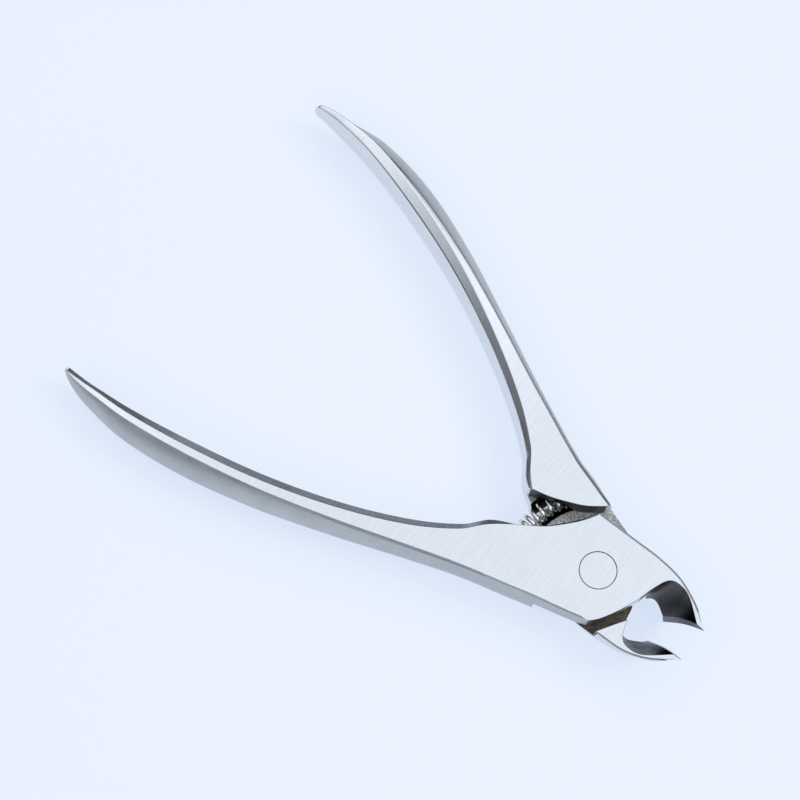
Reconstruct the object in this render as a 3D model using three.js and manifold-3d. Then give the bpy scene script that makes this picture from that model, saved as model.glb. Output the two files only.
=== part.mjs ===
// Plier-type nail nipper: two forged levers lapped at a flush pivot pin, with a coil
// spring between them that holds the jaws open. Millimetres, +Z up.
//
// Frame: the origin is on the pivot axis at the rear end of the pin. +X runs from the
// pivot between the jaw tips, and the handles reach back along -X. At rest the cutting
// edges stand open by openAngle.
//
// Lever coordinates: u runs from the pivot along the lever's own cutting line to its jaw
// tip, v points to the outer side of its jaw, and w is the height above the lap plane.
// Both levers share these outlines, so they are mirror images apart from the lap,
// handleSet, handleStretch and the trims.

import * as THREE from 'three';
import { mergeVertices } from 'three/addons/utils/BufferGeometryUtils.js';
import Module from 'manifold-3d';

const wasm = await Module();
wasm.setup();

// Driving dimensions.
const openAngle = 17.6; // between the two cutting edges at rest, degrees
const headThickness = 10;
const lapGap = 0.2; // between the two lapped plates
const tipReach = 20.6; // pivot to jaw tip, at the front face
const heelReach = 14.1; // pivot to the heel of the cutting edge, at the rear face
const tipSpur = 0.34; // share of the cutting edge's forward run that lies in its pointed tip
const tipSharpness = 6; // how suddenly that point runs out, as a power of the height
const handleSet = 2.62; // the ground handles sit this many degrees off the cutting line
const handleSetStart = -15.5; // where that set begins
const handleSetEase = { reach: 72, rate: 0.0043 }; // it eases off beyond this reach, per mm
const handleStretch = { front: 0.005, back: -0.011 }; // each handle's share beyond its stations
const headStart = -16; // where the handle runs into the flat head
const headOverlap = 3; // how far the handle's core reaches into the head
const pinRadius = 3.2;
const pinClearance = 0.1;
const pinChamfer = 0.15;
const springArcRadius = 14.45; // the spring follows a circle round the pivot
const springWireRadius = 0.35;
const springCoilRadius = 1.48; // to the middle of the wire
const springTurns = 13;
const springEndShare = 0.06; // how much closer the turns lie at both ends of the spring
const springHalfArc = 36; // degrees each way from the middle, at rest
const pocketRadius = 2.35; // channel and blind pockets that take the spring
const pocketHalfArc = 38.5;
const cutMargin = 1; // how far the cutting tools reach past the surfaces they cut
const roundSides = 48; // facets round the pin and its hole
const coilSides = 6;
const coilStepsPerTurn = 12;

const halfThickness = headThickness / 2;
const halfOpen = THREE.MathUtils.degToRad(openAngle / 2);

// The handle, station by station along u. The outer edge, crest and inner edge are
// places in v. The swells are how far the two sides bulge past those edges at mid
// height. The three heights are the edges' own, above the lap plane.
const handleColumns = [
  'outer', 'crest', 'inner', 'outerSwell', 'innerSwell', 'innerUp', 'crestUp', 'outerUp',
];
const handleStations = [
  [-98.4, -18.58, -18.45, -17.91, 0.2, 0.16, 2.02, 2.3, 2.27],
  [-97.2, -19.15, -19, -18.33, 0.38, 0.28, 2.39, 2.75, 2.71],
  [-95.5, -19.75, -19.45, -18.63, 0.63, 0.4, 2.75, 3.2, 3.09],
  [-92, -20.43, -19.95, -19.03, 1.1, 0.55, 3.43, 3.95, 3.72],
  [-84, -21.35, -20.65, -19.25, 2.28, 0.5, 4.1, 4.9, 4.6],
  [-72, -21.1, -20.02, -18.4, 2.7, 0.4, 4.4, 5.5, 5.2],
  [-58, -19.45, -18.08, -16.5, 2.3, 0.3, 4.55, 5.7, 5.4],
  [-44, -16.75, -14.62, -13.2, 1.65, 0.18, 4.4, 5.5, 5.25],
  [-32, -14, -10.4, -9, 1.2, 0.05, 4.15, 5.2, 5.05],
  [-24, -12.25, -6.2, -4.95, 0.9, 0, 4.15, 5, 4.95],
  [-20.3, -11.45, -2.95, -1.75, 0.8, 0, 4.3, 5, 4.97],
  [-16, -10.65, -0.2, -0.1, 0.75, 0, 4.9, 5, 5],
];
// How far the front lever lies off those stations in their first six columns. The back
// lever lies off them by the same the other way.
const handleTrims = [
  [-98.4, -0.37, -0.35, -0.16, 0.05, -0.14, -0.17],
  [-97.2, -0.3, -0.25, -0.13, 0.17, -0.18, -0.14],
  [-95.5, -0.35, -0.15, -0.17, 0.32, -0.3, -0.09],
  [-92, -0.42, -0.1, -0.28, 0.5, -0.4, -0.02],
  [-84, -0.25, 0.1, -0.18, 0.17, -0.35, 0],
  [-72, -0.1, 0.12, -0.1, 0, -0.25, 0],
  [-58, -0.12, 0, -0.12, 0, -0.15, 0],
  [-44, -0.15, -0.12, -0.15, 0, -0.05, 0],
  [-32, -0.1, -0.08, -0.1, -0.1, 0, 0],
  [-24, 0, 0, 0, -0.2, 0, 0],
  [-20.3, 0, 0, 0, -0.27, 0, 0],
  [-16, 0, 0, 0, -0.34, 0, 0],
];
const sidePoint = { height: 0.5, swell: 0.75 }; // the section's point between edge and bulge
const stationEasing = 0.35; // packs the lofted sections closer together towards the tip
const coreMiddle = -5.4; // the core that ties handle and head narrows towards this v
const coreTaper = 0.1;
const handleSteps = 30;

// The head's plan outline, in (u, v), in order round the lever. The jaw's inner and
// outer walls are given at the rear and front faces, point for point. The inner wall
// ends at the corner where the honed bevel starts, which runs straight to the edge.
const neckEdge = [[-16, -10.65], [-12, -10.15], [-7, -9.5], [-2.4, -9.1], [2.7, -8.5]];
const neckSwell = [0.75, 0.8, 0.5, 0.3, 0.1]; // how far it bulges past that at mid height
const neckSwellTrim = 0.45; // the front lever's bulge is smaller by this share, the other larger
const plateJawEdge = [[2.7, -8.5], [4.35, -7.05], [6.55, -4.05], [8.5, -0.6]];
const jawInnerRear = [[8.5, -0.6], [9, 0.9], [9.7, 2.05], [10.7, 2.6], [11.9, 2.25], [13.6, 0.85]];
const jawInnerFront = [[8.5, -0.6], [9.8, 2.5], [11.3, 4.75], [13.2, 5.12], [15.65, 4.02], [18.97, 0.38]];
const jawOuterRear = [[14.3, 1.7], [13.2, 3.6], [11, 5.4], [7.2, 6.7], [2.4, 7.5], [-4.7, 8.9]];
const jawOuterFront = [[18.6, 2.35], [16, 4.55], [12.6, 6.37], [8.2, 7.46], [3.6, 8.22], [-4.7, 9.06]];
const jawTrim = 0.2; // at the front face the back jaw stands this far out, the front jaw in
const hollowTrimShare = [0, 0.8, 0.9, 1, 1]; // point for point, of that trim
const outerTrimShare = [0.3, 1, 0.8, 0.3, 1, 0];
const jawBow = 0.9; // how much the outer wall of the jaw is bowed between the two faces
const hollowBow = 0.55; // the same for the hollow inside the jaw
const plateHandleEdge = [[-4.7, 9.06], [-6.6, 6.6], [-9.1, 4.25], [-11.7, 2.2], [-14.9, 0.5], [-16, -0.2]];
const jawLevels = 9;
const levelPacking = 1.5;

// Where the other lever's plate lies, half of the thickness is cut away between the
// handle's shoulder and the jaw's shoulder.
const handleShoulder = [[-18.2, -1.2], [-14.9, -2.66], [-11.9, -4.5], [-9.5, -6.25], [-7.1, -8.8]];
const jawShoulder = [[9.4, 2.4], [8.3, 5.05], [7.3, 7.6]];
const lapStart = [-20.3, -0.6];
const lapRear = [[-5.8, -13], [13, -13], [10.7, 0.2]];
const lapFront = [[5.8, 13], [-12, 13]];

// A smooth curve through one column of a table, as a function of its first column.
function track(rows, column) {
  const slope = (i) => {
    const a = rows[Math.max(i - 1, 0)];
    const b = rows[Math.min(i + 1, rows.length - 1)];
    return (b[column] - a[column]) / (b[0] - a[0]);
  };
  return (x) => {
    let i = 0;
    while (i < rows.length - 2 && x > rows[i + 1][0]) i += 1;
    const span = rows[i + 1][0] - rows[i][0];
    const s = (x - rows[i][0]) / span;
    const h = s * s * (3 - 2 * s);
    const ends = rows[i][column] * (1 - h) + rows[i + 1][column] * h;
    const bend = slope(i) * s * (1 - s) * (1 - s) - slope(i + 1) * s * s * (1 - s);
    return ends + bend * span;
  };
}

const points = (pairs) => pairs.map(([x, y]) => new THREE.Vector2(x, y));
const spline = (pairs, steps) => new THREE.SplineCurve(points(pairs)).getPoints(steps);

// A closed skin over rings of equal count, with flat caps on the first and last ring.
// Each ring runs anticlockwise seen against the direction of the stack.
function skin(rings) {
  const count = rings[0].length;
  const positions = rings.flat().flatMap((p) => [p.x, p.y, p.z]);
  const index = [];
  for (let ring = 0; ring < rings.length - 1; ring += 1) {
    for (let i = 0; i < count; i += 1) {
      const a = ring * count + i;
      const b = ring * count + ((i + 1) % count);
      index.push(a, b, b + count, a, b + count, a + count);
    }
  }
  const cap = (ring, flat, flip) => {
    for (const [a, b, c] of THREE.ShapeUtils.triangulateShape(flat, [])) {
      const base = ring * count;
      index.push(base + a, base + (flip ? c : b), base + (flip ? b : c));
    }
  };
  const flatten = (ring, u, v) => ring.map((p) => new THREE.Vector2(p[u], p[v]));
  const along = Math.abs(rings[0][0].x - rings[1][0].x) > Math.abs(rings[0][0].z - rings[1][0].z);
  const [u, v] = along ? ['y', 'z'] : ['x', 'y'];
  cap(0, flatten(rings[0], u, v), true);
  cap(rings.length - 1, flatten(rings[rings.length - 1], u, v), false);
  const geometry = new THREE.BufferGeometry();
  geometry.setAttribute('position', new THREE.Float32BufferAttribute(positions, 3));
  geometry.setIndex(index);
  return geometry;
}

function solidOf(geometry) {
  const plain = geometry.clone();
  plain.deleteAttribute('normal');
  plain.deleteAttribute('uv');
  const merged = mergeVertices(plain, 1e-4);
  const mesh = new wasm.Mesh({
    numProp: 3,
    vertProperties: new Float32Array(merged.attributes.position.array),
    triVerts: new Uint32Array(merged.index.array),
  });
  return new wasm.Manifold(mesh);
}

function geometryOf(solid) {
  const mesh = solid.getMesh();
  const geometry = new THREE.BufferGeometry();
  geometry.setAttribute('position', new THREE.BufferAttribute(new Float32Array(mesh.vertProperties), 3));
  geometry.setIndex(new THREE.BufferAttribute(new Uint32Array(mesh.triVerts), 1));
  return geometry;
}

// One handle cross-section at u: a crested hexagon with swollen sides, the same above
// and below the lap plane. set is +1 or -1, for the side that handleSet leans to.
const handleTrack = handleColumns.map((name, i) => track(handleStations, i + 1));
const trimTrack = handleTrims[0].slice(1).map((value, i) => track(handleTrims, i + 1));

function handleSection(u, set) {
  const trims = trimTrack.map((trim) => set * trim(u));
  const values = handleTrack.map((value, i) => value(u) + (trims[i] ?? 0));
  const at = Object.fromEntries(handleColumns.map((name, i) => [name, values[i]]));
  const reach = Math.max(0, handleSetStart - u);
  const eased = handleSetEase.rate * Math.max(0, reach - handleSetEase.reach) ** 2;
  const lean = set * (Math.tan(THREE.MathUtils.degToRad(handleSet)) * reach - eased);
  const { outer, crest, inner } = at;
  const upper = [
    [outer - at.outerSwell * sidePoint.swell, at.outerUp * sidePoint.height],
    [outer, at.outerUp],
    [crest, at.crestUp],
    [inner, at.innerUp],
    [inner + at.innerSwell * sidePoint.swell, at.innerUp * sidePoint.height],
  ];
  const ring = [
    [outer - at.outerSwell, 0],
    ...upper.map(([v, w]) => [v, -w]),
    [inner + at.innerSwell, 0],
    ...upper.reverse(),
  ];
  const stretch = set > 0 ? handleStretch.front : handleStretch.back;
  const stretched = headStart + (u - headStart) * (1 + stretch);
  return ring.map(([v, w]) => new THREE.Vector3(stretched, v + lean, w));
}

function handle(set) {
  const first = handleStations[0][0];
  const rings = [];
  for (let i = 0; i <= handleSteps; i += 1) {
    const s = i / handleSteps;
    const eased = stationEasing * s * s + (1 - stationEasing) * s;
    rings.push(handleSection(first + (headStart - first) * eased, set));
  }
  // The core that ties the handle into the head, drawn in from the head's surface.
  const middle = new THREE.Vector3(headStart, coreMiddle, 0);
  const end = rings[rings.length - 1].map((p) => p.clone().lerp(middle, coreTaper));
  rings.push(end.map((p) => p.add(new THREE.Vector3(headOverlap, 0, 0))));
  return skin(rings);
}

// The head's outline at height t, from 0 at the rear face to 1 at the front face.
function headOutline(t, set) {
  const between = (rear, front, s) => rear.map(([u, v], i) => [
    u + (front[i][0] - u) * s,
    v + (front[i][1] - v) * s,
  ]);
  const bowed = (bow) => t + bow * t * (1 - t);
  const run = (1 - tipSpur) * t + tipSpur * t ** tipSharpness;
  const [edge] = between([[heelReach, 0]], [[tipReach, 0]], run);
  const hollow = between(jawInnerRear.slice(0, -1), jawInnerFront.slice(0, -1), bowed(hollowBow));
  const bevel = between(jawInnerRear.slice(-1), jawInnerFront.slice(-1), run);
  const outer = between(jawOuterRear, jawOuterFront, bowed(jawBow));
  const trimmed = (wall, shares) => wall.map(([u, v], i) => [u, v - set * t * jawTrim * shares[i]]);
  const inner = [...trimmed(hollow, hollowTrimShare), ...bevel];
  const swollen = (1 - set * neckSwellTrim) * 4 * t * (1 - t);
  const neck = neckEdge.map(([u, v], i) => [u, v - neckSwell[i] * swollen]);
  return [
    ...spline(neck, 4).slice(0, -1),
    ...spline(plateJawEdge, 6).slice(0, -1),
    ...spline(inner, 16),
    ...spline([edge, ...trimmed(outer, outerTrimShare)], 16).slice(0, -1),
    ...spline(plateHandleEdge, 9),
  ];
}

// The levels lie closer together towards the front face, where the edge runs to a point.
function head(set) {
  const rings = [];
  for (let i = 0; i <= jawLevels; i += 1) {
    const t = 1 - (1 - i / jawLevels) ** levelPacking;
    const w = (t - 0.5) * headThickness;
    rings.push(headOutline(t, set).map((p) => new THREE.Vector3(p.x, p.y, w)));
  }
  return skin(rings);
}

// The half of the head that the other lever's plate takes, from the rear face up.
function lapCut() {
  const outline = [
    ...points([lapStart]),
    ...spline(handleShoulder, 12),
    ...points(lapRear),
    ...spline(jawShoulder, 4),
    ...points(lapFront),
  ];
  const depth = halfThickness + cutMargin + lapGap / 2;
  const geometry = new THREE.ExtrudeGeometry(new THREE.Shape(outline), { depth, bevelEnabled: false });
  return geometry.translate(0, 0, -halfThickness - cutMargin);
}

function pinHole() {
  const radius = pinRadius + pinClearance;
  const length = headThickness + 2 * cutMargin;
  return new THREE.CylinderGeometry(radius, radius, length, roundSides).rotateX(Math.PI / 2);
}

// A circular arc about the pivot through the handles' side, halfArc degrees each way.
class PivotArc extends THREE.Curve {
  constructor(radius, halfArc) {
    super();
    this.radius = radius;
    this.halfArc = THREE.MathUtils.degToRad(halfArc);
  }

  getPoint(s, target = new THREE.Vector3()) {
    const angle = Math.PI + this.halfArc * (1 - 2 * s);
    return target.set(this.radius * Math.cos(angle), this.radius * Math.sin(angle), 0);
  }
}

// The coil: a helix wound round a PivotArc, closer at both ends.
class CoilCurve extends THREE.Curve {
  getPoint(s, target = new THREE.Vector3()) {
    const arc = new PivotArc(springArcRadius, springHalfArc);
    const drawn = springEndShare * Math.sin(4 * Math.PI * s) / Math.PI;
    const centre = arc.getPoint(s - drawn);
    const turn = 2 * Math.PI * springTurns * s;
    const outward = centre.clone().normalize();
    target.copy(centre).addScaledVector(outward, springCoilRadius * Math.cos(turn));
    target.z += springCoilRadius * Math.sin(turn);
    return target;
  }
}

function tube(path, radius, sides, steps) {
  const circle = new THREE.Shape(
    Array.from({ length: sides }, (_, i) => {
      const angle = (2 * Math.PI * i) / sides;
      return new THREE.Vector2(radius * Math.cos(angle), radius * Math.sin(angle));
    }),
  );
  return new THREE.ExtrudeGeometry(circle, { steps, extrudePath: path, bevelEnabled: false });
}

const steel = new THREE.MeshStandardMaterial({ color: 0xc9ccd1, metalness: 1, roughness: 0.38 });
const pinSteel = new THREE.MeshStandardMaterial({ color: 0xcdd0d5, metalness: 1, roughness: 0.34 });
const springSteel = new THREE.MeshStandardMaterial({ color: 0x6f6a66, metalness: 1, roughness: 0.25 });

function named(name, geometry, material) {
  const mesh = new THREE.Mesh(geometry, material);
  mesh.name = name;
  return mesh;
}

// The front lever loses the rear half of its head to the other plate, and the back lever
// the front half. Both are built in lever coordinates and then turned to the rest pose.
function lever(isFront) {
  const flip = new THREE.Matrix4().makeScale(1, isFront ? 1 : -1, 1);
  const lapSide = new THREE.Matrix4().makeScale(1, 1, isFront ? 1 : -1);
  const turn = new THREE.Matrix4().makeRotationZ(isFront ? halfOpen : -halfOpen);
  const place = (geometry, ...matrices) => {
    const solid = solidOf(geometry);
    return matrices.reduce((moved, matrix) => moved.transform(matrix.elements), solid);
  };
  const pocket = place(tube(new PivotArc(springArcRadius, pocketHalfArc), pocketRadius, 16, 14));
  const cut = place(lapCut(), lapSide, flip, turn);
  const set = isFront ? 1 : -1;
  return place(handle(set), flip, turn)
    .add(place(head(set), flip, turn))
    .subtract(cut)
    .subtract(place(pinHole()))
    .subtract(pocket);
}

const frontLever = named('front_lever', geometryOf(lever(true)), steel);
const backLever = named('back_lever', geometryOf(lever(false)), steel);

const pinProfile = points([
  [0, -halfThickness],
  [pinRadius - pinChamfer, -halfThickness],
  [pinRadius, -halfThickness + pinChamfer],
  [pinRadius, halfThickness - pinChamfer],
  [pinRadius - pinChamfer, halfThickness],
  [0, halfThickness],
]);
const pivotPin = named('pivot_pin', new THREE.LatheGeometry(pinProfile, roundSides), pinSteel);
pivotPin.rotation.x = Math.PI / 2;

const coil = tube(new CoilCurve(), springWireRadius, coilSides, springTurns * coilStepsPerTurn);
const returnSpring = named('return_spring', coil, springSteel);

const group = new THREE.Group();
group.position.z = halfThickness;
group.add(frontLever, backLever, pivotPin, returnSpring);

export default group;
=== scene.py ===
"""Looks of a plier-type nail nipper: two lapped stainless levers, a flush pin and a spring.

The finely ground shapes are made here in millimetres and scaled to metres. They follow
the same lever coordinates as the frame: u runs from the pivot along a lever's own cutting
line to its jaw tip, v points to the outer side of its jaw, and w is the height above the
lap plane, which is half of the head's thickness above the table side.
"""

import math

import bmesh
import bpy
import numpy as np
from mathutils import Matrix, Vector


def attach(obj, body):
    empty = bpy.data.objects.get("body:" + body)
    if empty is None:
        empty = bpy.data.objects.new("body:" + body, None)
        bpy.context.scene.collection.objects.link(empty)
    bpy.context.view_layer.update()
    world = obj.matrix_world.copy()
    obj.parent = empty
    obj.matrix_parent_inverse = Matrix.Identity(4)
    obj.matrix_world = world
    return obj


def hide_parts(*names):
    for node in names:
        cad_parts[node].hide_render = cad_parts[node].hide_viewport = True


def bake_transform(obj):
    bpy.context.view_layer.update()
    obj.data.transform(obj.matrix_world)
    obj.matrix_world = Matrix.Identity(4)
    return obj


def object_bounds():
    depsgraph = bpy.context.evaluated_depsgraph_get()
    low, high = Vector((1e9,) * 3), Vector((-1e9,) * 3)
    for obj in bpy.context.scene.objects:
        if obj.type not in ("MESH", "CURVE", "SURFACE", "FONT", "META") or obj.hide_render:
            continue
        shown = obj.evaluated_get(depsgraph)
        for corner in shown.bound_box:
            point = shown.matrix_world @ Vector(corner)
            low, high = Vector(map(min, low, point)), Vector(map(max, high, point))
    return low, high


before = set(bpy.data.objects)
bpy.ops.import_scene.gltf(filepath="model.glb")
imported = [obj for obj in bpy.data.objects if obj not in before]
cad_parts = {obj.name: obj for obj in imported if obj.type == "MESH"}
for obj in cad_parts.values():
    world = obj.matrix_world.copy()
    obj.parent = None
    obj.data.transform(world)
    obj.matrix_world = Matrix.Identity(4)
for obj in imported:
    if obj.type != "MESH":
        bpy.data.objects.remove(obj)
cad_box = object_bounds()

MM = 0.001

# Where the levers differ, FRONT and BACK pick the lever's own value, and they sign its trims.
FRONT, BACK = 1, -1

# Driving dimensions, in millimetres unless a line says otherwise.
OPEN_ANGLE = math.radians(17.6)  # between the two levers' cutting lines
THICKNESS = 10.0  # of the head
HALF = THICKNESS / 2
LAP_GAP = 0.2  # between the two plates
TIP_REACH = 20.6  # from the pivot to the jaw tip on the front face
HEEL_REACH = 14.1  # from the pivot to the cutting edge's end on the rear face
TIP_SPUR = 0.34  # share of the edge's slope that is left to the tip itself
TIP_SHARPNESS = 6
HANDLE_SET = math.radians(2.62)  # how far the handles are set out of line with the jaws
HANDLE_SET_START = -15.5
HANDLE_SET_EASE = (72, 0.0043)  # the reach where the set fades, and how fast
HANDLE_STRETCH = {FRONT: 0.005, BACK: -0.011}  # share of the stations' length
HEAD_START = -16.0  # u where the handle's sections end and the head begins
HEAD_OVERLAP = 3.0
PIN_RADIUS = 3.2
PIN_CLEARANCE = 0.1
SPRING_ARC = 14.45  # from the pivot to the spring's centre line
WIRE_RADIUS = 0.35
COIL_RADIUS = 1.48  # to the middle of the wire
COIL_TURNS = 13
COIL_END_SHARE = 0.06  # how much closer the end turns lie
COIL_HALF_ARC = math.radians(36)
POCKET_RADIUS = 2.35
POCKET_HALF_ARC = math.radians(38.5)

# How far the ground edges are broken.
FACE_BREAK = 0.06
CONTOUR_ROUND = 0.45
CONTOUR_PROFILE = (  # depth down the side and inset of the face, as shares of the round
    (0.0, 1.0), (0.1, 0.78), (0.62, 0.1), (0.85, 0.0),
)
CREST_BREAK = 0.16
OUTER_BREAK = {FRONT: 0.12, BACK: 0.42}
OUTER_DROP = (0.3, 0.5)  # least share of the break's width, and most millimetres
OUTER_SLOPE = {FRONT: math.tan(math.radians(45)), BACK: math.tan(math.radians(36))}
LEAST_SPREAD = 0.05  # keeps the chamfer short where the flank leans out as fast as it does
INNER_BREAK = {FRONT: (0.08, 0.05), BACK: (0.25, 0.085)}  # along the facet, down the flank
BREAK_ROOM = 0.4  # most of a facet that one broken edge takes
OUTER_ROOM = 0.45
CHAMFER_BEND = 0.25  # 0 is a flat chamfer and 1 a full round
OUTER_BEND = {FRONT: 0.25, BACK: 1}
BREAK_BLEND = 40.0  # length over which the handle's outer break becomes the head's
LAP_BREAK = 0.08
HOLE_BREAK = 0.03
PIN_BREAK = 0.05
TIP_ROUNDING = 1.1  # length of the rounded end of a handle
TIP_FLAT = 0.04  # share of the section that is left at the very end
CREASE = math.radians(10)  # sharper edges stay edges in the shading
WIRE_CREASE = math.radians(60)
MERGE = 1e-6  # metres

# The handle's sections. Each row is u, then the columns below: the places across of the
# outer edge, the crest and the inner edge, how far the two flanks bulge, and the heights
# of the three edges above the handle's middle plane.
HANDLE_COLUMNS = (
    "outer", "crest", "inner", "outer_swell", "inner_swell",
    "inner_up", "crest_up", "outer_up",
)
HANDLE_STATIONS = (
    (-98.4, -18.58, -18.45, -17.91, 0.2, 0.16, 2.02, 2.3, 2.27),
    (-97.2, -19.15, -19, -18.33, 0.38, 0.28, 2.39, 2.75, 2.71),
    (-95.5, -19.75, -19.45, -18.63, 0.63, 0.4, 2.75, 3.2, 3.09),
    (-92, -20.43, -19.95, -19.03, 1.1, 0.55, 3.43, 3.95, 3.72),
    (-84, -21.35, -20.65, -19.25, 2.28, 0.5, 4.1, 4.9, 4.6),
    (-72, -21.1, -20.02, -18.4, 2.7, 0.4, 4.4, 5.5, 5.2),
    (-58, -19.45, -18.08, -16.5, 2.3, 0.3, 4.55, 5.7, 5.4),
    (-44, -16.75, -14.62, -13.2, 1.65, 0.18, 4.4, 5.5, 5.25),
    (-32, -14, -10.4, -9, 1.2, 0.05, 4.15, 5.2, 5.05),
    (-24, -12.25, -6.2, -4.95, 0.9, 0, 4.15, 5, 4.95),
    (-20.3, -11.45, -2.95, -1.75, 0.8, 0, 4.3, 5, 4.97),
    (-16, -10.65, -0.2, -0.1, 0.75, 0, 4.9, 5, 5),
)
# What FRONT adds to the first columns of the stations, and BACK takes off.
HANDLE_TRIMS = (
    (-98.4, -0.37, -0.35, -0.16, 0.05, -0.14, -0.17),
    (-97.2, -0.3, -0.25, -0.13, 0.17, -0.18, -0.14),
    (-95.5, -0.35, -0.15, -0.17, 0.32, -0.3, -0.09),
    (-92, -0.42, -0.1, -0.28, 0.5, -0.4, -0.02),
    (-84, -0.25, 0.1, -0.18, 0.17, -0.35, 0),
    (-72, -0.1, 0.12, -0.1, 0, -0.25, 0),
    (-58, -0.12, 0, -0.12, 0, -0.15, 0),
    (-44, -0.15, -0.12, -0.15, 0, -0.05, 0),
    (-32, -0.1, -0.08, -0.1, -0.1, 0, 0),
    (-24, 0, 0, 0, -0.2, 0, 0),
    (-20.3, 0, 0, 0, -0.27, 0, 0),
    (-16, 0, 0, 0, -0.34, 0, 0),
)
TRIM_COLUMNS = len(HANDLE_TRIMS[0]) - 1
HANDLE_RINGS = 220
TIP_RINGS = 16
FLANK_STEPS = 20
CORNER_STEPS = 6
HANDLE_CORE = (-5.4, 0.1)  # middle and size of the stub that joins the handle to the head

# The head's plan outline as (u, v). The jaw slants, so its edges are given on both faces.
NECK_EDGE = ((-16, -10.65), (-12, -10.15), (-7, -9.5), (-2.4, -9.1), (2.7, -8.5))
NECK_SWELL = (0.75, 0.8, 0.5, 0.3, 0.1)
NECK_SWELL_TRIM = 0.45
PLATE_JAW_EDGE = ((2.7, -8.5), (4.35, -7.05), (6.55, -4.05), (8.5, -0.6))
JAW_INNER_REAR = ((8.5, -0.6), (9, 0.9), (9.7, 2.05), (10.7, 2.6), (11.9, 2.25), (13.6, 0.85))
JAW_INNER_FRONT = ((8.5, -0.6), (9.8, 2.5), (11.3, 4.75), (13.2, 5.12), (15.65, 4.02), (18.97, 0.38))
JAW_OUTER_REAR = ((14.3, 1.7), (13.2, 3.6), (11, 5.4), (7.2, 6.7), (2.4, 7.5), (-4.7, 8.9))
JAW_OUTER_FRONT = ((18.6, 2.35), (16, 4.55), (12.6, 6.37), (8.2, 7.46), (3.6, 8.22), (-4.7, 9.06))
JAW_TRIM = 0.2
HOLLOW_TRIM_SHARE = (0, 0.8, 0.9, 1, 1)
OUTER_TRIM_SHARE = (0.3, 1, 0.8, 0.3, 1, 0)
JAW_BOW = 0.9  # how far the jaw's outer side bows between the rear and front faces
HOLLOW_BOW = 0.55
PLATE_HANDLE_EDGE = ((-4.7, 9.06), (-6.6, 6.6), (-9.1, 4.25), (-11.7, 2.2), (-14.9, 0.5), (-16, -0.2))
CONTOUR_STEPS = {"neck": 12, "plate": 14, "hollow": 44, "jaw": 44, "handle": 22}
ROUND_FADE = 10  # outline points over which the round begins behind the jaw tip
HEAD_LEVELS = 30
LEVEL_CROWDING = 1.5  # how much closer the levels lie towards the front face

# The half of the head that the other plate takes, as (u, v).
HANDLE_SHOULDER = ((-18.2, -1.2), (-14.9, -2.66), (-11.9, -4.5), (-9.5, -6.25), (-7.1, -8.8))
JAW_SHOULDER = ((9.4, 2.4), (8.3, 5.05), (7.3, 7.6))
LAP_START = (-20.3, -0.6)
LAP_REAR = ((-5.8, -13), (13, -13), (10.7, 0.2))
LAP_FRONT = ((5.8, 13), (-12, 13))
HANDLE_SHOULDER_STEPS = 40
JAW_SHOULDER_STEPS = 12
PAST = 0.2  # how far a cutting tool reaches past the face it enters

# Counts along the round shapes.
PIN_SIDES = 128
POCKET_SIDES = 48
POCKET_RINGS = 40
WIRE_SIDES = 14
WIRE_STEPS = 44  # in a turn

# How a face's place and direction tell its finish.
FLAT_NORMAL = 0.97  # least share of the normal along the pivot on a flat
WALL_NORMAL = 0.6  # and the most on a wall
FLANK_NORMAL = 0.85  # and on an outer flank
NEAR = 0.05
SHOULDER_NEAR = 0.25
SHOULDER_SAMPLES = 60
FLANK_FLARE = 0.2  # how fast the outer flank stands out towards the handle
POCKET_SIDE = -9  # the pocket's walls lie past this v
JAW_ROOT = 8.6
BEVEL_MARGIN = (0.1, 0.02)

# Looks. Colours are linear, and places along x are in millimetres from the pivot.
FACE_COLOR = (0.78, 0.795, 0.83)
FACE_ROUGHNESS = 0.24
FACE_CONTRAST = 0.06
FACE_DEPTH = 2e-6  # metres, of the grinding marks
THROAT = (10.5, 13.5)  # where the hollow's painted shade turns from pale to dark
FLANK_TONE_TURN = (-55, -20)  # where the flank's colour turns from the far one to the slightly darker near one
LAP_TONE_TURN = (-4, 4)  # where the lap faces turn from grey to dark brown
TABLE_SIZE = 4  # metres
TABLE_COLOR = (0.275, 0.24, 0.13)
TABLE_GLOW = (0.56, 0.65, 0.85)
DOME_STRENGTH = 1.09
DOME_TINT = (0.88, 0.94, 1.0)
DOME_STOPS = (  # sine of elevation, brightness
    (0.0, 0.04), (0.3, 0.07), (0.4, 0.2), (0.54, 0.6),
    (0.66, 1.0), (0.76, 1.22), (0.86, 1.22), (0.95, 1.0),
)
SOFTBOX_PLACE = (0.5, 0.5, 0.9)  # metres
SOFTBOX_SIZE = (0.45, 0.45)  # metres
SOFTBOX_POWER = 2.5  # watts
CAMERA_PLACE = (12.8, -77.0, 363.0)
CAMERA_FORWARD = (-0.1584, 0.2153, -0.9636)
CAMERA_RIGHT = (0.7745, 0.6324, 0.0140)
CAMERA_LENS = 94.5
CAMERA_SENSOR = 36


# ---------------------------------------------------------------- curves and meshes


def track(rows, column):
    """A smooth curve through one column of a table, as a function of its first column."""

    def slope(i):
        a, b = rows[max(i - 1, 0)], rows[min(i + 1, len(rows) - 1)]
        return (b[column] - a[column]) / (b[0] - a[0])

    def at(x):
        i = 0
        while i < len(rows) - 2 and x > rows[i + 1][0]:
            i += 1
        span = rows[i + 1][0] - rows[i][0]
        s = (x - rows[i][0]) / span
        h = s * s * (3 - 2 * s)
        ends = rows[i][column] * (1 - h) + rows[i + 1][column] * h
        bend = slope(i) * s * (1 - s) ** 2 - slope(i + 1) * s * s * (1 - s)
        return ends + bend * span

    return at


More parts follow.
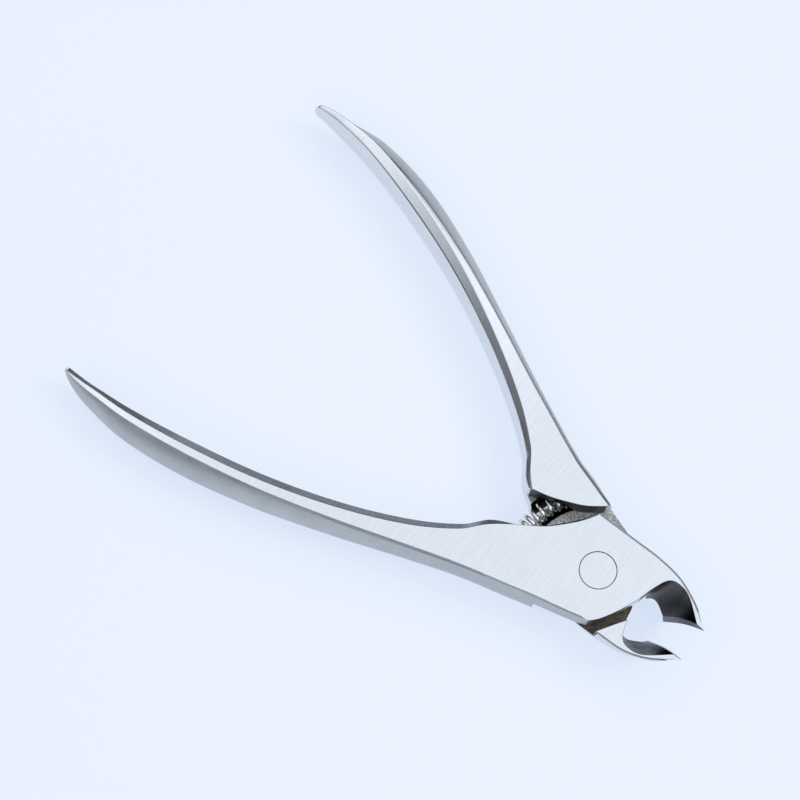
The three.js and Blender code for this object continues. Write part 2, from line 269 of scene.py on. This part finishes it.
def spline(pairs, steps):
    """A Catmull-Rom curve through plan points, steps + 1 points long."""
    p = np.array(pairs, float)
    last = len(p) - 1
    found = []
    for k in range(steps + 1):
        x = k / steps * last
        i = min(int(x), last - 1)
        s = x - i
        p0, p1, p2, p3 = p[max(i - 1, 0)], p[i], p[i + 1], p[min(i + 2, last)]
        v0, v1 = (p2 - p0) / 2, (p3 - p1) / 2
        rise, bend = 2 * (p1 - p2) + v0 + v1, 3 * (p2 - p1) - 2 * v0 - v1
        found.append(rise * s**3 + bend * s**2 + v0 * s + p1)
    return np.array(found)


def inset(outline, depth):
    """A closed plan outline moved inwards by depth, without spikes at its corners."""
    before, after = np.roll(outline, 1, 0), np.roll(outline, -1, 0)
    tangent = after - before
    tangent /= np.maximum(np.linalg.norm(tangent, axis=1, keepdims=True), 1e-9)
    area = np.sum(before[:, 0] * outline[:, 1] - outline[:, 0] * before[:, 1])
    side = 1 if area > 0 else -1
    normal = np.stack([-tangent[:, 1], tangent[:, 0]], 1) * side
    return outline + normal * depth


def mesh_of(name, points, faces):
    """A mesh object from points in millimetres in the lever's own coordinates."""
    mesh = bpy.data.meshes.new(name)
    mesh.from_pydata([tuple(p) for p in points], [], faces)
    work = bmesh.new()
    work.from_mesh(mesh)
    bmesh.ops.recalc_face_normals(work, faces=work.faces)
    if work.calc_volume(signed=True) < 0:
        bmesh.ops.reverse_faces(work, faces=work.faces)
    work.to_mesh(mesh)
    work.free()
    made = bpy.data.objects.new(name, mesh)
    bpy.context.scene.collection.objects.link(made)
    return made


def loft(name, rings):
    """A solid skin over rings of equal count, capped at both ends."""
    count = len(rings[0])
    points = np.concatenate(rings)
    faces = []
    for a in range(0, len(points) - count, count):
        b = a + count
        faces += [(a + i, a + (i + 1) % count, b + (i + 1) % count, b + i) for i in range(count)]
    faces.append(tuple(range(count))[::-1])
    faces.append(tuple(range(len(points) - count, len(points))))
    return mesh_of(name, points, faces)


def combine(target, tool, operation):
    """Joins tool to target, or cuts it out, and removes tool."""
    step = target.modifiers.new(operation.lower(), "BOOLEAN")
    step.operation = operation
    step.solver = "MANIFOLD"
    step.object = tool
    bpy.context.view_layer.objects.active = target
    bpy.ops.object.modifier_apply(modifier=step.name)
    bpy.data.objects.remove(tool)


# ---------------------------------------------------------------- the levers


HANDLE_TRACK = {name: track(HANDLE_STATIONS, i + 1) for i, name in enumerate(HANDLE_COLUMNS)}
TRIM_TRACK = {
    name: track(HANDLE_TRIMS, i + 1) for i, name in enumerate(HANDLE_COLUMNS[:TRIM_COLUMNS])
}


def flank(edge, swell, up, reach):
    """One bulging side of the handle from its upper to its lower edge."""
    s = np.linspace(1 - reach / up, -1 + reach / up, FLANK_STEPS)
    return np.stack([edge + swell * (1 - s * s), s * up], 1)


def lean_of(u, side):
    """How far the handle's set carries its section outwards at u."""
    reach = max(0.0, HANDLE_SET_START - u)
    eased = HANDLE_SET_EASE[1] * max(0.0, reach - HANDLE_SET_EASE[0]) ** 2
    return side * (math.tan(HANDLE_SET) * reach - eased)


def outer_break(u, at, strip, width, side):
    """The outer edge's break along the strip and down the flank, and how round it is."""
    near_head = min(max((u - HEAD_START) / BREAK_BLEND + 1, 0), 1)
    start = OUTER_BREAK[side]
    top = min(start + (CONTOUR_ROUND - start) * near_head, OUTER_ROOM * width)
    bend = OUTER_BEND[side] + (CHAMFER_BEND - OUTER_BEND[side]) * near_head
    slope = OUTER_SLOPE[side]
    # The flank leans out from its edge, so the chamfer meets it further down.
    spread = 1 - 2 * at["outer_swell"] / at["outer_up"] * slope
    down = top * (slope * strip[0] - strip[1]) / max(spread, LEAST_SPREAD)
    down = min(max(down, OUTER_DROP[0] * top), OUTER_DROP[1])
    down += (CONTOUR_PROFILE[-1][0] * CONTOUR_ROUND - down) * near_head**3
    return top, down, bend


def facet(a, b, reach_a, reach_b):
    """The two ends of the flat between corners a and b, once both corners are broken."""
    along = (b - a) / max(np.linalg.norm(b - a), 1e-9)
    return np.stack([a + along * reach_a, b - along * reach_b])


def turn_edge(a, knee, b, bend):
    """The points between a and b of a broken edge whose sharp corner was at knee."""
    knee = (a + b) / 2 * (1 - bend) + knee * bend
    s = np.linspace(0, 1, CORNER_STEPS + 1)[1:-1, None]
    return a * (1 - s) ** 2 + knee * 2 * s * (1 - s) + b * s * s


def handle_section(u, side):
    """The handle's closed section at u, with broken edges, as places across and heights."""
    at = {name: HANDLE_TRACK[name](u) for name in HANDLE_COLUMNS}
    for name, trim in TRIM_TRACK.items():
        at[name] += side * trim(u)
    top = {name: np.array([at[name], at[name + "_up"]]) for name in ("outer", "crest", "inner")}
    low = {name: p * (1, -1) for name, p in top.items()}
    strip = top["crest"] - top["outer"]
    width = max(np.linalg.norm(strip), 1e-9)
    room = BREAK_ROOM * np.linalg.norm(top["crest"] - top["inner"])
    crest_reach = min(CREST_BREAK, BREAK_ROOM * width, room)
    outer_top, outer_side, outer_bend = outer_break(u, at, strip / width, width, side)
    inner_top, inner_side = (min(a, room) for a in INNER_BREAK[side])
    inner_flank = flank(at["inner"], at["inner_swell"], at["inner_up"], inner_side)
    outer_flank = flank(at["outer"], -at["outer_swell"], at["outer_up"], outer_side)[::-1]
    sides = [
        (facet(top["outer"], top["crest"], outer_top, crest_reach), top["crest"], 1),
        (facet(top["crest"], top["inner"], crest_reach, inner_top), top["inner"], CHAMFER_BEND),
        (inner_flank, low["inner"], CHAMFER_BEND),
        (facet(low["inner"], low["crest"], inner_top, crest_reach), low["crest"], 1),
        (facet(low["crest"], low["outer"], crest_reach, outer_top), low["outer"], outer_bend),
        (outer_flank, top["outer"], outer_bend),
    ]
    ring = []
    for k, (points, knee, bend) in enumerate(sides):
        following = sides[(k + 1) % len(sides)][0]
        ring += [points, turn_edge(points[-1], knee, following[0], bend)]
    return np.concatenate(ring), np.array([at["crest"], 0.0])


def handle_ring(u, side):
    """The handle's section at u, as points in lever coordinates; it shrinks at the very tip."""
    ring, middle = handle_section(u, side)
    near = min((u - HANDLE_STATIONS[0][0]) / TIP_ROUNDING, 1.0)
    shrink = math.sqrt(max(1 - (1 - near) ** 2, 0.0)) * (1 - TIP_FLAT) + TIP_FLAT
    ring = middle + (ring - middle) * shrink
    stretched = HEAD_START + (u - HEAD_START) * (1 + HANDLE_STRETCH[side])
    return np.column_stack([np.full(len(ring), stretched), ring[:, 0] + lean_of(u, side), ring[:, 1]])


def handle(name, side):
    first = HANDLE_STATIONS[0][0]
    tip = first + TIP_ROUNDING * np.linspace(0, 1, TIP_RINGS + 1)[:-1] ** 2
    body = np.linspace(first + TIP_ROUNDING, HEAD_START, HANDLE_RINGS)
    rings = [handle_ring(u, side) for u in np.concatenate([tip, body])]
    across, size = HANDLE_CORE
    middle = np.array([HEAD_START, across, 0.0])
    core = rings[-1] + (middle - rings[-1]) * size + (HEAD_OVERLAP, 0, 0)
    return loft(name, rings + [core])


def between(rear, front, share):
    """A mix of two equal lists of points: rear at 0 and front at 1."""
    return np.array(rear, float) * (1 - share) + np.array(front, float) * share


def edge_run(t):
    """How far the cutting edge has run from heel to tip at height t."""
    return (1 - TIP_SPUR) * t + TIP_SPUR * t**TIP_SHARPNESS


def head_outline(t, side):
    """The head's plan outline at height t, from 0 at the rear face to 1 at the front face."""

    def bowed(bow):
        return t + bow * t * (1 - t)

    run = edge_run(t)
    edge = between([(HEEL_REACH, 0)], [(TIP_REACH, 0)], run)
    hollow = between(JAW_INNER_REAR[:-1], JAW_INNER_FRONT[:-1], bowed(HOLLOW_BOW))
    bevel = between(JAW_INNER_REAR[-1:], JAW_INNER_FRONT[-1:], run)
    outer = between(JAW_OUTER_REAR, JAW_OUTER_FRONT, bowed(JAW_BOW))
    hollow[:, 1] -= side * t * JAW_TRIM * np.array(HOLLOW_TRIM_SHARE)
    outer[:, 1] -= side * t * JAW_TRIM * np.array(OUTER_TRIM_SHARE)
    neck = np.array(NECK_EDGE, float)
    neck[:, 1] -= np.array(NECK_SWELL) * (1 - side * NECK_SWELL_TRIM) * 4 * t * (1 - t)
    return np.concatenate([
        spline(neck, CONTOUR_STEPS["neck"])[:-1],
        spline(PLATE_JAW_EDGE, CONTOUR_STEPS["plate"])[:-1],
        spline(np.concatenate([hollow, bevel]), CONTOUR_STEPS["hollow"]),
        spline(np.concatenate([edge, outer]), CONTOUR_STEPS["jaw"])[:-1],
        spline(PLATE_HANDLE_EDGE, CONTOUR_STEPS["handle"]),
    ])


def edge_rounds():
    """How far the edge of each outline point is rounded: the outer contour is, the rest hardly."""
    steps = CONTOUR_STEPS
    sharp = [FACE_BREAK] * (steps["plate"] + steps["hollow"] + 1)
    tip = list(np.linspace(FACE_BREAK, CONTOUR_ROUND, ROUND_FADE))
    contour = [CONTOUR_ROUND] * (steps["jaw"] - len(tip))
    root = list(np.linspace(CONTOUR_ROUND, FACE_BREAK, steps["handle"] + 1))
    return np.array([CONTOUR_ROUND] * steps["neck"] + sharp + tip + contour + root)[:, None]


def head_levels():
    """The heights of the head's outlines, with the profile of the rounds at both faces."""
    rounded = [down * CONTOUR_ROUND / THICKNESS for down, _ in CONTOUR_PROFILE]
    levels = 1 - (1 - np.linspace(0, 1, HEAD_LEVELS)) ** LEVEL_CROWDING
    between_rounds = [t for t in levels if rounded[-1] < t < 1 - rounded[-1]]
    return [*rounded, *between_rounds, *[1 - t for t in rounded[::-1]]]


def head(name, side):
    rings = []
    down, inward = np.array(CONTOUR_PROFILE).T
    rounds = edge_rounds()
    for t in head_levels():
        plan = head_outline(t, side)
        below = min(t, 1 - t) * THICKNESS / rounds
        depth = rounds * np.interp(below, down, inward)
        ends = plan[[0, -1], 1] + depth[[0, -1], 0] * (1, -1)
        plan = inset(plan, depth)
        plan[[0, -1]] = np.column_stack([(HEAD_START, HEAD_START), ends])
        rings.append(np.column_stack([plan, np.full(len(plan), (t - 0.5) * THICKNESS)]))
    return loft(name, rings)


def lap_cut(name):
    """The half of the head that the other plate takes, with a broken edge at its mouth."""
    outline = np.concatenate([
        [LAP_START], spline(HANDLE_SHOULDER, HANDLE_SHOULDER_STEPS), LAP_REAR,
        spline(JAW_SHOULDER, JAW_SHOULDER_STEPS), LAP_FRONT,
    ])
    levels = (
        (-HALF - PAST, -LAP_BREAK - PAST),
        (-HALF + LAP_BREAK, 0),
        (LAP_GAP / 2, 0),
    )
    rings = []
    for w, depth in levels:
        plan = inset(outline, depth)
        rings.append(np.column_stack([plan, np.full(len(plan), w)]))
    return loft(name, rings)


def ring_points(radius, count):
    angle = np.linspace(0, 2 * math.pi, count, endpoint=False)
    return np.stack([radius * np.cos(angle), radius * np.sin(angle)], 1)


def turned(name, levels):
    """A solid of revolution round the pivot from (height, radius) levels."""
    rings = []
    for w, radius in levels:
        rings.append(np.column_stack([ring_points(radius, PIN_SIDES), np.full(PIN_SIDES, w)]))
    return loft(name, rings)


def pin_hole(name):
    radius = PIN_RADIUS + PIN_CLEARANCE
    mouth = radius + HOLE_BREAK + PAST
    return turned(name, (
        (-HALF - PAST, mouth),
        (-HALF + HOLE_BREAK, radius),
        (HALF - HOLE_BREAK, radius),
        (HALF + PAST, mouth),
    ))


def arc_frame(angle):
    """A point on the spring's arc and the outward direction there; 0 is the arc's middle."""
    outward = np.array([-math.cos(angle), -math.sin(angle), 0.0])
    return outward * SPRING_ARC, outward


def pocket(name):
    """The bent round hole that the spring stands in, to be cut from either lever."""
    rings = []
    circle = ring_points(POCKET_RADIUS, POCKET_SIDES)
    for angle in np.linspace(-POCKET_HALF_ARC, POCKET_HALF_ARC, POCKET_RINGS):
        centre, outward = arc_frame(angle)
        rings.append(centre + circle[:, :1] * outward + circle[:, 1:] * (0, 0, 1))
    return loft(name, rings)


def finish_shape(piece, angle):
    """Smooth shading that breaks at edges sharper than angle."""
    work = bmesh.new()
    work.from_mesh(piece.data)
    bmesh.ops.remove_doubles(work, verts=work.verts, dist=MERGE)
    bmesh.ops.dissolve_degenerate(work, edges=work.edges, dist=MERGE)
    for face in work.faces:
        face.smooth = True
    for edge in work.edges:
        edge.smooth = edge.is_manifold and edge.calc_face_angle(0) < angle
    work.to_mesh(piece.data)
    work.free()
    weighted = piece.modifiers.new("face normals", "WEIGHTED_NORMAL")
    weighted.keep_sharp = True
    weighted.weight = 60


def reflect(piece, scale):
    """Mirrors a piece through the plane whose axis is -1 in scale."""
    piece.data.transform(Matrix.Diagonal((*scale, 1)))
    piece.data.flip_normals()


def lever(name, body, side):
    made = handle(name, side)
    combine(made, head("head", side), "UNION")
    cut = lap_cut("cut")
    if side == BACK:
        reflect(cut, (1, 1, -1))
    combine(made, cut, "DIFFERENCE")
    combine(made, pin_hole("hole"), "DIFFERENCE")
    if side == BACK:
        reflect(made, (1, -1, 1))
    made.data.transform(Matrix.Rotation(side * OPEN_ANGLE / 2, 4, "Z"))
    combine(made, pocket("pocket"), "DIFFERENCE")
    made.data.materials.clear()
    for finish in finishes:
        made.data.materials.append(finish)
    sort_finishes(made, side)
    made.data.transform(Matrix.Scale(MM, 4) @ Matrix.Translation((0, 0, HALF)))
    finish_shape(made, CREASE)
    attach(made, body)
    return made


# ---------------------------------------------------------------- pin and spring


def pivot_pin(name):
    made = turned(name, (
        (0.0, PIN_RADIUS - PIN_BREAK),
        (PIN_BREAK, PIN_RADIUS),
        (THICKNESS - PIN_BREAK, PIN_RADIUS),
        (THICKNESS, PIN_RADIUS - PIN_BREAK),
    ))
    made.data.transform(Matrix.Scale(MM, 4))
    finish_shape(made, CREASE)
    return made


def coil_route():
    """The middle of the wire: a helix along the arc, closer at both ends."""
    steps = COIL_TURNS * WIRE_STEPS
    up = np.array([0, 0, 1])
    route = []
    for k in range(steps + 1):
        s = k / steps
        drawn = COIL_END_SHARE * math.sin(4 * math.pi * s) / math.pi
        centre, outward = arc_frame(COIL_HALF_ARC * (2 * (s - drawn) - 1))
        turn = 2 * math.pi * COIL_TURNS * s
        spoke = math.cos(turn) * outward + math.sin(turn) * up
        route.append(centre + COIL_RADIUS * spoke)
    return np.array(route)


def return_spring(name):
    circle = ring_points(WIRE_RADIUS, WIRE_SIDES)
    route = coil_route()
    along = np.gradient(route, axis=0)
    along /= np.linalg.norm(along, axis=1, keepdims=True)
    rings = []
    for point, forward in zip(route, along):
        centre = point * (1, 1, 0)
        centre = centre / np.linalg.norm(centre) * SPRING_ARC
        spoke = point - centre
        spoke -= forward * (spoke @ forward)
        spoke /= np.linalg.norm(spoke)
        third = np.cross(forward, spoke)
        rings.append(point + circle[:, :1] * spoke + circle[:, 1:] * third)
    made = loft(name, rings)
    made.data.transform(Matrix.Scale(MM, 4) @ Matrix.Translation((0, 0, HALF)))
    finish_shape(made, WIRE_CREASE)
    return made


# ---------------------------------------------------------------- materials


def noise(tree, grain, detail, roughness=0.55):
    """Noise in the piece's own metres; grain is how many cells a metre holds along each axis."""
    place = tree.nodes.new("ShaderNodeTexCoord")
    mapping = tree.nodes.new("ShaderNodeMapping")
    mapping.inputs["Scale"].default_value = grain
    made = tree.nodes.new("ShaderNodeTexNoise")
    made.inputs["Scale"].default_value = 1
    made.inputs["Detail"].default_value = detail
    made.inputs["Roughness"].default_value = roughness
    tree.links.new(place.outputs["Object"], mapping.inputs["Vector"])
    tree.links.new(mapping.outputs["Vector"], made.inputs["Vector"])
    return made.outputs["Fac"]


def ramp(tree, value, stops):
    """Colours from a value, as (position, colour) stops."""
    made = tree.nodes.new("ShaderNodeValToRGB")
    band = made.color_ramp
    while len(band.elements) < len(stops):
        band.elements.new(0.5)
    for element, (position, color) in zip(band.elements, stops):
        element.position = position
        element.color = (*color, 1)
    tree.links.new(value, made.inputs["Fac"])
    return made.outputs["Color"]


def span(tree, value, low, high, start=0.3, end=0.7):
    """A value between low and high, while the given one runs from start to end."""
    made = tree.nodes.new("ShaderNodeMapRange")
    for name, number in (
        ("From Min", start), ("From Max", end), ("To Min", low), ("To Max", high),
    ):
        made.inputs[name].default_value = number
    tree.links.new(value, made.inputs["Value"])
    return made.outputs["Result"]


def bump(tree, value, depth, normal=None):
    """A bump whose full height is depth metres."""
    made = tree.nodes.new("ShaderNodeBump")
    made.inputs["Strength"].default_value = 1
    made.inputs["Distance"].default_value = depth
    tree.links.new(value, made.inputs["Height"])
    if normal:
        tree.links.new(normal, made.inputs["Normal"])
    return made.outputs["Normal"]


def metal(name):
    material = bpy.data.materials.new(name)
    material.use_nodes = True
    tree = material.node_tree
    shader = tree.nodes["Principled BSDF"]
    shader.inputs["Metallic"].default_value = 1
    return material, tree, shader


def scaled(color, factor):
    return tuple(channel * factor for channel in color)


def brushed_steel(name):
    """Belt-ground steel, with its grain across the tool."""
    material, tree, shader = metal(name)
    fine = noise(tree, (9000, 420, 9000), 5)
    broad = noise(tree, (2100, 150, 2100), 3)
    worn = noise(tree, (260, 190, 260), 4, 0.6)
    dim = 1 - FACE_CONTRAST
    streaks = ramp(tree, fine, ((0.32, scaled(FACE_COLOR, dim)), (0.68, FACE_COLOR)))
    cloud = ramp(tree, broad, ((0.3, (dim,) * 3), (0.7, (1, 1, 1))))
    both = tree.nodes.new("ShaderNodeMix")
    both.data_type = "RGBA"
    both.blend_type = "MULTIPLY"
    both.inputs["Factor"].default_value = 1
    tree.links.new(streaks, both.inputs["A"])
    tree.links.new(cloud, both.inputs["B"])
    tree.links.new(both.outputs["Result"], shader.inputs["Base Color"])
    rough = span(tree, worn, FACE_ROUGHNESS * 0.92, FACE_ROUGHNESS * 1.1)
    tree.links.new(rough, shader.inputs["Roughness"])
    coarse = bump(tree, broad, FACE_DEPTH * 2)
    tree.links.new(bump(tree, fine, FACE_DEPTH, coarse), shader.inputs["Normal"])
    return material


def satin_steel(name, far, near):
    """Blasted steel on the handles' outer flanks, in one colour far out and one near the head."""
    material, tree, shader = metal(name)
    speckle = noise(tree, (2600, 2600, 2600), 4, 0.65)
    patch = noise(tree, (240, 190, 240), 3)
    grades = [
        ramp(tree, speckle, ((0.32, scaled(color, 0.86)), (0.68, color))) for color in (near, far)
    ]
    color = blended(tree, along_x(tree, *FLANK_TONE_TURN), *grades)
    tree.links.new(color, shader.inputs["Base Color"])
    tree.links.new(span(tree, patch, 0.4, 0.54), shader.inputs["Roughness"])
    tree.links.new(bump(tree, speckle, 5e-6), shader.inputs["Normal"])
    return material


def along_x(tree, start, end):
    """1 up to start and 0 from end, in millimetres from the pivot towards the jaw tips."""
    place = tree.nodes.new("ShaderNodeTexCoord")
    split = tree.nodes.new("ShaderNodeSeparateXYZ")
    tree.links.new(place.outputs["Object"], split.inputs["Vector"])
    return span(tree, split.outputs["X"], 1, 0, start * MM, end * MM)


def blended(tree, share, a, b):
    """Colour a, or b where share is 1."""
    mix = tree.nodes.new("ShaderNodeMix")
    mix.data_type = "RGBA"
    tree.links.new(share, mix.inputs["Factor"])
    tree.links.new(a, mix.inputs["A"])
    tree.links.new(b, mix.inputs["B"])
    return mix.outputs["Result"]


def rough_steel(name):
    """The milled lap faces: speckled grey towards the handles and dark brown towards the jaws."""
    material, tree, shader = metal(name)
    speckle = noise(tree, (4200, 4200, 4200), 5, 0.7)
    patch = noise(tree, (700, 500, 700), 3)
    brown = ramp(tree, speckle, ((0.36, (0.035, 0.028, 0.022)), (0.68, (0.14, 0.12, 0.1))))
    grey = ramp(tree, speckle, ((0.36, (0.09, 0.088, 0.083)), (0.64, (0.62, 0.625, 0.62))))
    color = blended(tree, along_x(tree, *LAP_TONE_TURN), brown, grey)
    tree.links.new(color, shader.inputs["Base Color"])
    tree.links.new(span(tree, patch, 0.38, 0.62), shader.inputs["Roughness"])
    tree.links.new(bump(tree, speckle, 26e-6), shader.inputs["Normal"])
    return material


def hollow_steel(name, dark, light):
    """The jaw's hollow: near black with painted shade, with grind lines through the thickness and a
    paler throat.
    """
    material, tree, shader = metal(name)
    lines = noise(tree, (6500, 6500, 260), 4)
    mottle = noise(tree, (900, 900, 600), 5, 0.65)
    # painted shade: the hollow's body is near black, and its throat a paler shade
    body = ramp(tree, lines, ((0.3, dark), (0.72, scaled(dark, 2.2))))
    pale = ramp(tree, mottle, ((0.35, scaled(light, 0.45)), (0.65, light)))
    color = blended(tree, along_x(tree, *THROAT), body, pale)
    tree.links.new(color, shader.inputs["Base Color"])
    tree.links.new(span(tree, mottle, 0.26, 0.48), shader.inputs["Roughness"])
    tree.links.new(bump(tree, lines, 9e-6), shader.inputs["Normal"])
    return material


def honed_steel(name, dark, light):
    """Steel with a fine mottle: the bevel behind the cutting edge, and walls made near black as
    painted shade.
    """
    material, tree, shader = metal(name)
    mottle = noise(tree, (1500, 1500, 900), 5, 0.65)
    tree.links.new(ramp(tree, mottle, ((0.3, dark), (0.7, light))), shader.inputs["Base Color"])
    tree.links.new(span(tree, mottle, 0.3, 0.5), shader.inputs["Roughness"])
    tree.links.new(bump(tree, mottle, 8e-6), shader.inputs["Normal"])
    return material


def wire_steel(name, color):
    """Drawn spring wire."""
    material, tree, shader = metal(name)
    draw = noise(tree, (3000, 3000, 3000), 3)
    tone = ramp(tree, draw, ((0.3, scaled(color, 0.7)), (0.7, color)))
    tree.links.new(tone, shader.inputs["Base Color"])
    tree.links.new(span(tree, draw, 0.12, 0.24), shader.inputs["Roughness"])
    tree.links.new(bump(tree, draw, 4e-6), shader.inputs["Normal"])
    return material


# ---------------------------------------------------------------- which face has which finish


FLAT, LAP, HOLLOW, BEVEL, SATIN, PAINTED_SHADE = range(6)


def nearest(curve, u, v):
    return np.min(np.hypot(curve[:, 0] - u, curve[:, 1] - v))


def on_neck(u, v, nv, nw):
    """Whether a face belongs to the outer flank of the handle or the neck."""
    end_u, end_v = NECK_EDGE[-1]
    outside = v < end_v + FLANK_FLARE * (end_u - u)
    return u < end_u and outside and nv < 0 and abs(nw) < FLANK_NORMAL


def inner_jaw_finish(u, v, w):
    """BEVEL next to the cutting edge, HOLLOW behind it, and FLAT past the edge."""
    run = edge_run(w / THICKNESS + 0.5)
    if u > HEEL_REACH + (TIP_REACH - HEEL_REACH) * run:
        return FLAT
    corner_u, corner_v = between(JAW_INNER_REAR[-1], JAW_INNER_FRONT[-1], run)
    beside_edge = u > corner_u - BEVEL_MARGIN[0] and v < corner_v + BEVEL_MARGIN[1]
    return BEVEL if beside_edge else HOLLOW


def finish_of(u, v, w, nv, nw, side, shoulders):
    """Which finish a lever's face has, from its middle and normal in lever coordinates."""
    flat = abs(nw) > FLAT_NORMAL
    wall = abs(nw) < WALL_NORMAL
    over_lap = w * side - LAP_GAP / 2
    if flat and abs(over_lap) < NEAR and u > LAP_START[0]:
        return LAP
    # painted shade: the shoulder walls in the gap between the plates are near black
    if wall and over_lap < 0 and nearest(shoulders, u, v) < SHOULDER_NEAR:
        return PAINTED_SHADE
    # painted shade: the walls of the spring's pocket are near black too
    from_arc = math.hypot(math.hypot(u, v) - SPRING_ARC, w)
    if u < 0 and v > POCKET_SIDE and abs(from_arc - POCKET_RADIUS) < NEAR and not flat:
        return PAINTED_SHADE
    if wall and abs(math.hypot(u, v) - PIN_RADIUS - PIN_CLEARANCE) < NEAR:
        return LAP
    if on_neck(u, v, nv, nw):
        return SATIN
    if u < JAW_ROOT or nv > -0.03 or flat:
        return FLAT
    return inner_jaw_finish(u, v, w)


def sort_finishes(piece, side):
    """Gives each face of a lever its finish, before the lever is scaled to metres."""
    shoulders = np.concatenate([
        spline(HANDLE_SHOULDER, SHOULDER_SAMPLES), spline(JAW_SHOULDER, SHOULDER_SAMPLES),
    ])
    back = Matrix.Rotation(-side * OPEN_ANGLE / 2, 3, "Z")
    for face in piece.data.polygons:
        u, v, w = back @ face.center
        _, nv, nw = back @ face.normal
        face.material_index = finish_of(u, v * side, w, nv * side, nw, side, shoulders)


# ---------------------------------------------------------------- build


finishes = (
    brushed_steel("brushed steel"),
    rough_steel("milled lap steel"),
    # painted shade: these near-black colours darken the hollow where it reflects the dark around it
    hollow_steel("hollow steel with painted shade", (0.012, 0.011, 0.01), (0.13, 0.128, 0.12)),
    honed_steel("honed bevel steel", (0.1, 0.105, 0.11), (0.27, 0.28, 0.29)),
    satin_steel("satin flank steel", (0.57, 0.59, 0.61), (0.54, 0.56, 0.58)),
    # painted shade of the shoulder walls and the spring pocket, which lie in the gaps between the
    # parts
    honed_steel("shoulder and pocket steel with painted shade", (0.01, 0.01, 0.009), (0.045, 0.043, 0.04)),
)
front = lever("front_lever_ground", "front", FRONT)
back = lever("back_lever_ground", "back", BACK)
pin = pivot_pin("pivot_pin_flush")
spring = return_spring("return_spring_coil")
pin.data.materials.append(brushed_steel("pin steel"))
spring.data.materials.append(wire_steel("spring wire", (0.85, 0.83, 0.8)))

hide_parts("front_lever")
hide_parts("back_lever")
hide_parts("pivot_pin")
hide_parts("return_spring")
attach(pin, "back")


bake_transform(spring)


# ---------------------------------------------------------------- stage


def table():
    bpy.ops.mesh.primitive_plane_add(size=TABLE_SIZE, location=(0, 0, cad_box[0][2]))
    floor = bpy.context.object
    floor.name = "table"
    material = bpy.data.materials.new("pale table")
    material.use_nodes = True
    tree = material.node_tree
    shader = tree.nodes["Principled BSDF"]
    shader.inputs["Specular IOR Level"].default_value = 0.2
    cloud = noise(tree, (9, 7, 9), 2)
    pale = ramp(tree, cloud, ((0.3, scaled(TABLE_COLOR, 0.97)), (0.7, TABLE_COLOR)))
    tree.links.new(pale, shader.inputs["Base Color"])
    shader.inputs["Emission Color"].default_value = (*TABLE_GLOW, 1)
    shader.inputs["Emission Strength"].default_value = 1
    shader.inputs["Roughness"].default_value = 0.7
    floor.data.materials.append(material)


def studio():
    """A dome that is bright overhead and dim towards the horizon, by the sine of elevation."""
    world = bpy.data.worlds.new("studio")
    bpy.context.scene.world = world
    world.use_nodes = True
    tree = world.node_tree
    place = tree.nodes.new("ShaderNodeTexCoord")
    split = tree.nodes.new("ShaderNodeSeparateXYZ")
    tree.links.new(place.outputs["Generated"], split.inputs["Vector"])
    stops = tuple((z, scaled(DOME_TINT, grey)) for z, grey in DOME_STOPS)
    color = ramp(tree, split.outputs["Z"], stops)
    tree.links.new(color, tree.nodes["Background"].inputs["Color"])
    tree.nodes["Background"].inputs["Strength"].default_value = DOME_STRENGTH


def softbox():
    """A soft light that faces the pivot."""
    light = bpy.data.lights.new("softbox", "AREA")
    light.shape = "RECTANGLE"
    light.size, light.size_y = SOFTBOX_SIZE
    light.energy = SOFTBOX_POWER
    made = bpy.data.objects.new("softbox", light)
    made.location = SOFTBOX_PLACE
    made.rotation_mode = "QUATERNION"
    made.rotation_quaternion = (-Vector(SOFTBOX_PLACE)).to_track_quat("-Z", "Y")
    bpy.context.scene.collection.objects.link(made)


def camera():
    data = bpy.data.cameras.new("camera")
    data.sensor_width = CAMERA_SENSOR
    data.lens = CAMERA_LENS
    data.clip_start = 0.01
    data.clip_end = 20
    made = bpy.data.objects.new("camera", data)
    forward = Vector(CAMERA_FORWARD).normalized()
    up = Vector(CAMERA_RIGHT).normalized().cross(forward).normalized()
    right = forward.cross(up)
    turn = Matrix((right, up, -forward)).transposed().to_4x4()
    made.matrix_world = Matrix.Translation(Vector(CAMERA_PLACE) * MM) @ turn
    bpy.context.scene.collection.objects.link(made)
    bpy.context.scene.camera = made


table()
camera()
softbox()
studio()
bpy.context.scene.view_settings.view_transform = "Standard"
